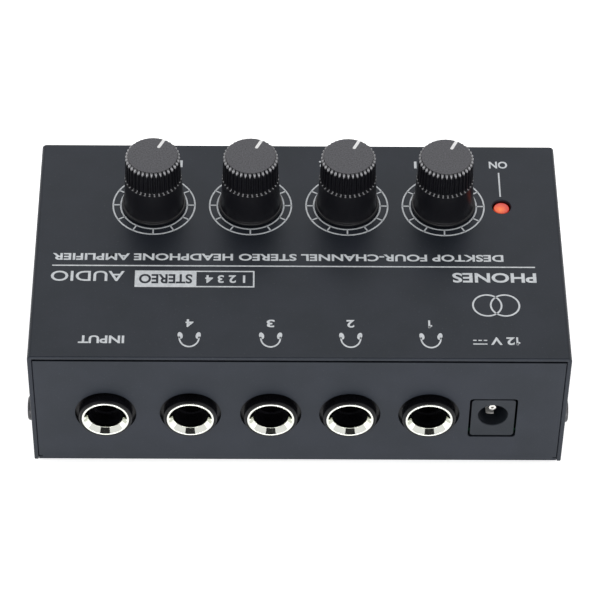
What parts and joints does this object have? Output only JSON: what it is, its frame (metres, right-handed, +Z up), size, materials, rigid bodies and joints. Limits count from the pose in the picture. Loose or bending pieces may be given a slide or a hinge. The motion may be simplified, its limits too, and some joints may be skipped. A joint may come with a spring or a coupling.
{
  "type": "headphone amplifier",
  "caption": "Small desktop headphone amplifier: sheet-metal box with level knobs on top, quarter-inch sockets and a power inlet on one face.",
  "frame": {"origin": "on the desk, at the middle of the base of the whole part, sockets included", "axes": "+Z up, +Y towards the socket face, -Y towards the user, +X to the right of the user"},
  "size_m": [0.1232, 0.069, 0.0525],
  "materials": {
    "case_paint": "satin dark blue-grey powder coat",
    "black_steel": "black oxide",
    "zinc_steel": "zinc plated",
    "foot_rubber": "matt black rubber",
    "board_laminate": "green solder mask",
    "socket_plastic": "moulded black nylon",
    "pin_nickel": "nickel plated",
    "contact_brass": "spring brass",
    "lamp_red": "clear red lens, lit",
    "spacer_plastic": "moulded black",
    "component_black": "moulded epoxy",
    "can_aluminium": "drawn can",
    "ferrule_chrome": "bright plated",
    "knob_plastic": "moulded dark grey, satin top",
    "pointer_white": "white fill",
    "shaft_aluminium": "turned",
    "housing_plastic": "moulded dark"
  },
  "bodies": {
    "case": {"amplifier_chips": "component_black", "board_screws": "zinc_steel", "board_standoffs": "zinc_steel", "bottom_chassis": "case_paint", "capacitor_cans": "can_aluminium", "chip_resistors": "component_black", "circuit_board": "board_laminate", "clinch_nuts": "zinc_steel", "inlet_body": "socket_plastic", "inlet_contact": "contact_brass", "inlet_pin": "pin_nickel", "inlet_terminal": "pin_nickel", "input_jack_body": "socket_plastic", "input_jack_contacts": "contact_brass", "input_jack_ferrule": "ferrule_chrome", "lamp_leads": "pin_nickel", "lamp_spacer": "spacer_plastic", "level_1_bush": "zinc_steel", "level_1_housing": "housing_plastic", "level_1_terminals": "contact_brass", "level_2_bush": "zinc_steel", "level_2_housing": "housing_plastic", "level_2_terminals": "contact_brass", "level_3_bush": "zinc_steel", "level_3_housing": "housing_plastic", "level_3_terminals": "contact_brass", "level_4_bush": "zinc_steel", "level_4_housing": "housing_plastic", "level_4_terminals": "contact_brass", "output_1_jack_body": "socket_plastic", "output_1_jack_contacts": "contact_brass", "output_1_jack_ferrule": "ferrule_chrome", "output_2_jack_body": "socket_plastic", "output_2_jack_contacts": "contact_brass", "output_2_jack_ferrule": "ferrule_chrome", "output_3_jack_body": "socket_plastic", "output_3_jack_contacts": "contact_brass", "output_3_jack_ferrule": "ferrule_chrome", "output_4_jack_body": "socket_plastic", "output_4_jack_contacts": "contact_brass", "output_4_jack_ferrule": "ferrule_chrome", "power_lamp": "lamp_red", "rubber_feet": "foot_rubber", "side_screws": "black_steel", "top_cover": "case_paint", "voltage_regulator": "component_black"},
    "level_1_control": {"level_1_knob": "knob_plastic", "level_1_pointer": "pointer_white", "level_1_shaft": "shaft_aluminium"},
    "level_2_control": {"level_2_knob": "knob_plastic", "level_2_pointer": "pointer_white", "level_2_shaft": "shaft_aluminium"},
    "level_3_control": {"level_3_knob": "knob_plastic", "level_3_pointer": "pointer_white", "level_3_shaft": "shaft_aluminium"},
    "level_4_control": {"level_4_knob": "knob_plastic", "level_4_pointer": "pointer_white", "level_4_shaft": "shaft_aluminium"}
  },
  "joints": [
    {"name": "level_1_turn", "type": "hinge", "parent": "case", "child": "level_1_control", "pos_m": [-0.03338, -0.0146, 0.0365], "axis": [0, 0, 1], "range_deg": [-300, 0]},
    {"name": "level_2_turn", "type": "hinge", "parent": "case", "child": "level_2_control", "pos_m": [-0.01112, -0.0146, 0.0365], "axis": [0, 0, 1], "range_deg": [-300, 0]},
    {"name": "level_3_turn", "type": "hinge", "parent": "case", "child": "level_3_control", "pos_m": [0.01112, -0.0146, 0.0365], "axis": [0, 0, 1], "range_deg": [-300, 0]},
    {"name": "level_4_turn", "type": "hinge", "parent": "case", "child": "level_4_control", "pos_m": [0.03338, -0.0146, 0.0365], "axis": [0, 0, 1], "range_deg": [-300, 0]}
  ]
}
